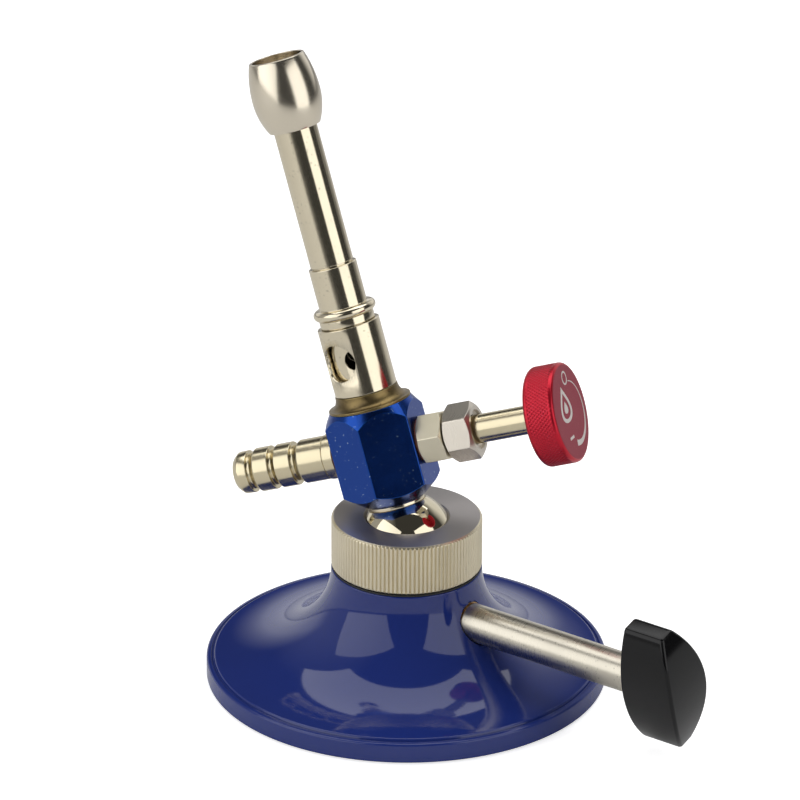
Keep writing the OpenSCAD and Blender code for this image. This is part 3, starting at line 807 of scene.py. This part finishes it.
headLook = {
    "widest": 115.2,           # height of the widest place
    "foot": 6.45, "lip": 6.9, "lipEdge": 0.3,
    "mouth": 6.2, "mouthDepth": 4.9,
    "throat": 4.5, "throatTop": 10.9,      # below the mouth's edge
    "socket": 5.5, "socketDepth": 5.1,
    "steps": 16,
}


def barrel(end, endRadius, radius):
    # the outline's arc from the widest place towards one end
    middle, steps = headLook["widest"], headLook["steps"]
    drop = radius - endRadius
    arc = ((end - middle) ** 2 + drop ** 2) / (2 * drop)
    return [(radius - arc + math.sqrt(arc ** 2 - z ** 2), middle + z, 0)
            for z in ((end - middle) * i / steps for i in range(steps))]


def makeFlameHead():
    look = headLook
    low, high, widest = span("flame_head", burnerFrame)
    socketTop = low + look["socketDepth"]
    head = lathed("flameHead", [
        (look["socket"], low, 0), (look["foot"], low, 0.12),
        *barrel(low, look["foot"], widest)[::-1], *barrel(high, look["lip"], widest)[1:],
        (look["lip"], high, look["lipEdge"]), (look["mouth"], high, 0.15),
        (look["mouth"], high - look["mouthDepth"], 0), (look["throat"], high - look["throatTop"], 0),
        (look["throat"], socketTop, 0), (look["socket"], socketTop, 0),
    ], burnerFrame)
    settle(head, "burner", headSteel, ["flame_head"])


def makeRetainer():
    look = {"bore": 3.7, "edges": (0, 0, 0.1, 0.3), "ports": 10, "portRadius": 0.7, "portRing": 4.95}
    low, high = span("flame_retainer", burnerFrame)[:2]
    ring = ringOf("flameRetainer", "flame_retainer", burnerFrame, look["bore"], look["edges"], 120)
    bits = []
    for i in range(look["ports"]):
        place = Matrix.Rotation(2 * math.pi * i / look["ports"], 4, "Z")
        side = Matrix.Translation((look["portRing"] * mm, 0, 0))
        bits.append(drillBit(burnerFrame @ place @ side, look["portRadius"], low - 1, high + 1, 24))
    cutAway(ring, *bits)
    settle(ring, "burner", steelDark, ["flame_retainer"])


makeSeatFlange()
makeAirSleeve()
makeMixingTube()
makeBurnerTube()
makeFlameHead()
makeRetainer()
print("burner column made")


# Hose nozzle

nozzleLook = {
    "land": 5.5, "root": 4.45, "bore": 2.5,
    "step": 14.0,              # end of the thicker part next to the body
    "stepRise": 0.2,
    "seam": 0.25,              # fine groove at that step
    "grooves": [(20.8, 23.0), (27.1, 29.0), (32.9, 35.0)],
    "rootFlat": 0.7,
    "edge": 0.18,
    "nose": 1.4,               # length and height of the rounded end
}


def makeNozzle():
    land, root, bore, step, seam, edge, nose = (
        nozzleLook[key] for key in ("land", "root", "bore", "step", "seam", "edge", "nose"))
    low = span("nozzle_washer", nozzleFrame).high
    high = span("hose_nozzle", nozzleFrame).high
    thick = land + nozzleLook["stepRise"]
    corners = [(bore, low, 0), (thick, low, 0.1), (thick, step, 0.12),
               (land - seam, step + 0.05, 0), (land - seam, step + seam, 0), (land, step + 0.3, 0.12)]
    for start, end in nozzleLook["grooves"]:
        corners += [(land, start, edge), (root, end - nozzleLook["rootFlat"], 0.3), (root, end, 0.1),
                    (land, end, edge)]
    corners[-1] = (land - 0.15, corners[-1][1], edge)      # the last barb is a little lower
    corners += [(land - 0.2, high - nose, 0.8), (land - nose, high, 0.6), (bore + 0.6, high, 0.3),
                (bore, high - 0.6, 0.2)]
    nozzle = lathed("hoseNozzle", corners, nozzleFrame, 160)
    settle(nozzle, "burner", nickelSatin, ["hose_nozzle"])


makeNozzle()
print("hose nozzle made")


# Valve spindle and knob

def makeSpindle():
    # the visible part, from inside the gland to just inside the knob
    look = {"stem": 2.2, "from": 10, "shoulder": 23.8, "edges": (0.1, 0.4), "sunk": 0.5}
    end = span("control_knob", valveFrame).low + look["sunk"]
    spindle = steppedRod("valveSpindle", look, span("valve_spindle", valveFrame).radius, end, valveFrame)
    settle(spindle, "knob", nickelSatin, ["valve_spindle"])


knobLook = {
    "back": 1.1,               # edge radius at the back
    "front": 1.0,              # edge radius at the face
    "bore": 2.9,               # spindle hole, only as deep as it can be seen
    "boreDepth": 0.6,
    "teeth": 80,               # diamonds round the rim
    "columns": 8,              # mesh columns per diamond
    "rows": 40,                # mesh rows across the rim
    "depth": 0.18,
    "cutWidth": 2.2,           # higher is narrower
    "slant": 0.85,             # how far the cuts go sideways for their height
    "dish": 0.06,              # how much deeper the face's middle is
}


def makeKnob():
    look = knobLook
    low, high, outer = span("control_knob", valveFrame)
    rimLow, rimHigh = low + look["back"], high - look["front"]
    pitch = 2 * math.pi / look["teeth"]
    edge, centre = outer - 0.05, high - look["dish"]

    def cutDepth(angle, z):
        # two families of slanted cuts cross to make diamonds
        lean = (z - rimLow) / outer * look["slant"]
        near = min(abs(((angle + way * lean) / pitch) % 1 - 0.5) * 2 for way in (1, -1))
        ends = min(1.0, (z - rimLow) / 0.5 + 0.2, (rimHigh - z) / 0.5 + 0.2)
        return look["depth"] * max(0.0, 1 - near * look["cutWidth"]) * max(0.0, ends)

    back = filleted([(look["bore"], low, 0), (edge, low, look["back"]), (edge, high, 0), (0, high, 0)], 6)
    front = filleted([(edge, low, 0), (edge, high, look["front"]), (0, centre, 0)], 6)
    backPart = [p for p in back[1:] if p[1] <= rimLow + 1e-6 and p[0] > 3]
    frontPart = [p for p in front if p[1] >= rimHigh - 1e-6]
    rimRows = [rimLow + (rimHigh - rimLow) * i / look["rows"] for i in range(look["rows"] + 1)]
    hole = low + look["boreDepth"]

    def outline(angle):
        rim = [(outer - 0.02 - cutDepth(angle, z), z) for z in rimRows]
        return [(0, hole), (look["bore"], hole), (look["bore"], low), *backPart[:-1], *rim, *frontPart[1:-1],
                (outer - 1.6, high - 0.01), (0, centre)]

    knob = turned("controlKnob", outline, valveFrame, look["teeth"] * look["columns"], smoothAngle=60)
    settle(knob, "knob", knobRed, ["control_knob"])
    # the flat front takes the duller red
    paintFaces(knob, knobFace, lambda face: face.normal.dot(valveAxis) > 0.98)


markLook = {
    "ringAt": (8.3, -1.4), "ringOuter": 1.75, "ringInner": 1.3,
    "barAt": (-5.7, 3.6), "barHalf": (0.35, 1.5),
    "arcAt": (-0.5, -1.8), "arcRadius": 7.7, "arcFrom": -12, "arcTo": -200, "thin": 0.25, "thick": 1.5,
    "flameAt": (2.6, 2.7), "flameTall": 4.5, "flameWide": 5.6, "flameInner": 0.72, "flameCore": 0.34,
    "sunk": 0.08, "raised": 0.01, "arcSteps": 48, "smoothAngle": 30,
}


def makeMarks():
    # marks printed on the knob's face: each is a thin strip between two lines of points
    look = markLook
    face = span("control_knob", valveFrame).high
    levels = (face - look["sunk"], face + look["raised"])
    bm = bmesh.new()

    def strip(inner, outer, closed=True):
        skin(bm, [[(*p, levels[0]), (*q, levels[0]), (*q, levels[1]), (*p, levels[1])]
                  for p, q in zip(inner, outer)], closed)

    def around(place, radius, steps=48):
        return [(place[0] + radius * math.cos(2 * math.pi * i / steps),
                 place[1] + radius * math.sin(2 * math.pi * i / steps)) for i in range(steps)]

    def flame(scale, steps=64):
        # a drop with its tip up, scaled about a point a little below its middle
        out = []
        for i in range(steps):
            angle = 2 * math.pi * i / steps
            tall = look["flameTall"] * (math.cos(angle) * scale - 0.25 * (1 - scale))
            wide = look["flameWide"] * scale * math.sin(angle) * math.sin(angle / 2) ** 1.4
            out.append((look["flameAt"][0] + tall, look["flameAt"][1] + wide))
        return out

    strip(around(look["ringAt"], look["ringInner"]), around(look["ringAt"], look["ringOuter"]))
    x, y = look["barAt"]
    halfX, halfY = look["barHalf"]
    strip(*([(x + side, y - halfY), (x + side, y + halfY)] for side in (-halfX, halfX)), closed=False)
    inner, outer = [], []
    for i in range(look["arcSteps"] + 1):
        part = i / look["arcSteps"]
        angle = math.radians(look["arcFrom"] + (look["arcTo"] - look["arcFrom"]) * part)
        half = (look["thin"] + (look["thick"] - look["thin"]) * part ** 2) / 2
        for line, reach in ((inner, look["arcRadius"] - half), (outer, look["arcRadius"] + half)):
            line.append((look["arcAt"][0] + reach * math.cos(angle),
                         look["arcAt"][1] + reach * math.sin(angle)))
    strip(inner, outer, closed=False)
    strip(flame(look["flameInner"]), flame(1.0))
    strip(flame(0.02), flame(look["flameCore"]))
    marks = finishMesh("knobMarks", bm, valveFrame, look["smoothAngle"])
    settle(marks, "knob", markInk, [])


makeSpindle()
makeKnob()
makeMarks()
print("valve made")


# Clamp lever

def makeRod():
    # the shaft's visible part, from inside its bush to just inside the handle
    look = {"radius": 4.7, "stem": 4.0, "from": 12.7, "shoulder": 19.8, "edges": (0, 0.5), "sunk": 0.3}
    end = span("clamp_handle", leverFrame).low + look["sunk"]
    rod = steppedRod("clampRod", look, look["radius"], end, leverFrame)
    settle(rod, "lever", rodSteel, ["cam_shaft"])


handleLook = {
    "rake": 16.0,              # degrees about the rod
    "height": 34.5,
    "thick": 15.0,             # at the middle
    "tip": 4.4,                # thickness at both ends
    "side": 11.2,              # reach along the rod at both ends
    "middle": 15.1,            # reach along the rod at the middle
    "round": 0.8, "roundSteps": 5, "columns": 40,
}


def makeHandle():
    look = handleLook
    low = span("clamp_handle", leverFrame).low
    half = look["height"] / 2
    rise = (look["thick"] - look["tip"]) / 2
    lens = (half ** 2 + rise ** 2) / (2 * rise)
    domeRise = look["middle"] - look["side"]
    dome = (half ** 2 + domeRise ** 2) / (2 * domeRise)
    loops = []
    for i in range(look["columns"] + 1):
        x = -half + 2 * half * i / look["columns"]
        thick = look["thick"] / 2 - lens + math.sqrt(lens ** 2 - x ** 2)
        reach = look["middle"] - dome + math.sqrt(dome ** 2 - x ** 2)
        loops.append([(x, -thick, low), (x, thick, low), (x, thick, low + reach), (x, -thick, low + reach)])
    bm = bmesh.new()
    skin(bm, loops, False)
    axes = leverFrame @ Matrix.Rotation(math.radians(look["rake"]), 4, "Z")
    handle = finishMesh("clampHandle", bm, axes, 30)
    soften = handle.modifiers.new("soften", "BEVEL")
    soften.width = look["round"] * mm
    soften.segments = look["roundSteps"]
    soften.limit_method = "ANGLE"
    soften.angle_limit = math.radians(40)
    applyAll(handle)
    handle.data.shade_smooth()
    handle.data.set_sharp_from_angle(angle=math.radians(35))
    settle(handle, "lever", handleBlack, ["clamp_handle"])


makeRod()
makeHandle()
print("lever made")


# CAD nodes that keep their own shape get their finish

finishOf = {
    "bottom_plate": steelPlain, "plate_screws": steelPlain, "foot_pad": rubberBlack, "shaft_bush": bronze,
    "shaft_stop_screw": steelDark, "upper_ball_seat": nylonSeat, "lower_ball_seat": nylonSeat,
    "handle_insert": brassPlain, "nozzle_washer": fibreRed, "gas_jet": brassPlain, "jet_washer": bronze,
    "sleeve_spring": steelPlain, "bonnet_washer": fibreRed, "gland_packing": packingBlack,
    "packing_follower": brassPlain, "valve_needle": steelPlain, "knob_screw": steelDark,
}
for nodeName, material in finishOf.items():
    node = frame["nodes"][nodeName]
    node.data.materials.clear()
    node.data.materials.append(material)
print("inner pieces finished")


# Studio

def emitter(name, place, target, width, height, power):
    data = bpy.data.lights.new(name, "AREA")
    data.shape = "RECTANGLE"
    data.size, data.size_y = width, height
    data.energy = power
    lamp = bpy.data.objects.new(name, data)
    scene.collection.objects.link(lamp)
    lamp.location = place
    lamp.rotation_euler = (target - place).to_track_quat("-Z", "Y").to_euler()
    lamp.visible_camera = False


viewLook = {"azimuth": 36.5, "elevation": 24.4, "roll": 0.2,          # degrees
            "distance": 1.5, "aimHeight": 0.0749, "aimSide": -0.0018,  # metres
            "lens": 274.8, "sensor": 36, "clip": (0.05, 50)}


def makeCamera():
    look = viewLook
    azimuth = math.radians(look["azimuth"])
    elevation = math.radians(look["elevation"])
    back = Vector((math.sin(azimuth) * math.cos(elevation), -math.cos(azimuth) * math.cos(elevation),
                   math.sin(elevation)))
    right = Vector((math.cos(azimuth), math.sin(azimuth), 0))
    aim = Vector((0, 0, look["aimHeight"])) + right * look["aimSide"]
    data = bpy.data.cameras.new("camera")
    data.lens = look["lens"]
    data.sensor_width = look["sensor"]
    data.clip_start, data.clip_end = look["clip"]
    camera = bpy.data.objects.new("camera", data)
    scene.collection.objects.link(camera)
    camera.location = aim + back * look["distance"]
    turn = (-back).to_track_quat("-Z", "Y").to_matrix().to_4x4()
    camera.matrix_world = Matrix.Translation(camera.location) @ turn \
        @ Matrix.Rotation(math.radians(look["roll"]), 4, "Z")
    scene.camera = camera
    return back, right


def makeFloor():
    # pale floor, lifted to near white where the camera sees it, so only a faint shadow shows
    look = {"radius": 6, "segments": 96, "pale": (0.86, 0.86, 0.86), "paler": (0.88, 0.88, 0.88),
            "lift": 0.7}
    bm = bmesh.new()
    bmesh.ops.create_circle(bm, cap_ends=True, radius=look["radius"], segments=look["segments"])
    mesh = bpy.data.meshes.new("floor")
    bm.to_mesh(mesh)
    bm.free()
    floor = bpy.data.objects.new("floor", mesh)
    scene.collection.objects.link(floor)
    material, tree, shader = newMaterial("floorPale")
    grain = useGroup(tree, pebbleGroup, Scale=40.0)
    tone = blendColours(tree, grain.outputs["Height"], look["pale"], look["paler"])
    ray = addNode(tree, "LightPath")
    lift = mathNode(tree, "MULTIPLY", ray.outputs["Is Camera Ray"], look["lift"])
    tree.links.new(tone, shader.inputs["Base Color"])
    tree.links.new(lift, shader.inputs["Emission Strength"])
    shader.inputs["Emission Color"].default_value = (1, 1, 1, 1)
    shader.inputs["Roughness"].default_value = 0.9
    shader.inputs["Specular IOR Level"].default_value = 0.1
    mesh.materials.append(material)


def makeWorld():
    # white for the camera; what the surfaces reflect is a dim room with a white backdrop and a lit left wall
    look = {"room": 0.05, "backdrop": 0.85, "leftWall": 0.42,
            # where each brightness starts and is full, as the cosine to that direction
            "behind": (0.3, 0.7), "down": (-0.42, -0.2), "right": (0.0, 0.35), "deepDown": (-0.8, -0.5),
            "left": (0.35, 0.85)}
    world = bpy.data.worlds.new("studio")
    scene.world = world
    world.use_nodes = True
    tree = world.node_tree
    ground = tree.nodes["Background"]
    ray = addNode(tree, "LightPath")
    place = addNode(tree, "TexCoord")

    def along(direction, start, end):
        dot = addNode(tree, "VectorMath", {0: place.outputs["Generated"]}, operation="DOT_PRODUCT")
        dot.inputs[1].default_value = direction
        return addNode(tree, "MapRange", {"Value": dot.outputs["Value"]},
                       {"From Min": start, "From Max": end}).outputs[0]

    behind = along(-toCamera, *look["behind"])
    lowDown = along(-up, *look["down"])
    backRight = mathNode(tree, "MULTIPLY", along(viewRight, *look["right"]), along(-up, *look["deepDown"]))
    backdrop = mathNode(tree, "MULTIPLY", behind, mathNode(tree, "MAXIMUM", lowDown, backRight))
    leftWall = along(-viewRight, *look["left"])
    level = mathNode(tree, "MULTIPLY", backdrop, look["backdrop"])
    level = mathNode(tree, "MAXIMUM", level, mathNode(tree, "MULTIPLY", leftWall, look["leftWall"]))
    level = mathNode(tree, "MAXIMUM", level, look["room"])
    level = mathNode(tree, "MAXIMUM", level, ray.outputs["Is Camera Ray"])
    tree.links.new(level, ground.inputs["Strength"])
    ground.inputs["Color"].default_value = (1, 1, 1, 1)


viewBack, viewRight = makeCamera()
toCamera = Vector((viewBack.x, viewBack.y, 0)).normalized()
makeFloor()
makeWorld()
lampLook = {
    # name: (degrees to the right of the camera, degrees up, distance, width, height, power in watts)
    "leftBox": (-57, 24, 1.05, 1.3, 0.95, 5.1),
    "rightBox": (54, 22, 1.05, 0.95, 0.95, 4.2),
    "topBox": (180, 72, 1.05, 1.5, 0.75, 7.0),
}
lampTarget = up * 0.06
for lampName, (side, rise, away, width, tall, power) in lampLook.items():
    flat = viewRight * math.sin(math.radians(side)) + toCamera * math.cos(math.radians(side))
    place = (flat * math.cos(math.radians(rise)) + up * math.sin(math.radians(rise))) * away
    emitter(lampName, place + lampTarget, lampTarget, width, tall, power)
scene.view_settings.view_transform = "Standard"
print("studio made")
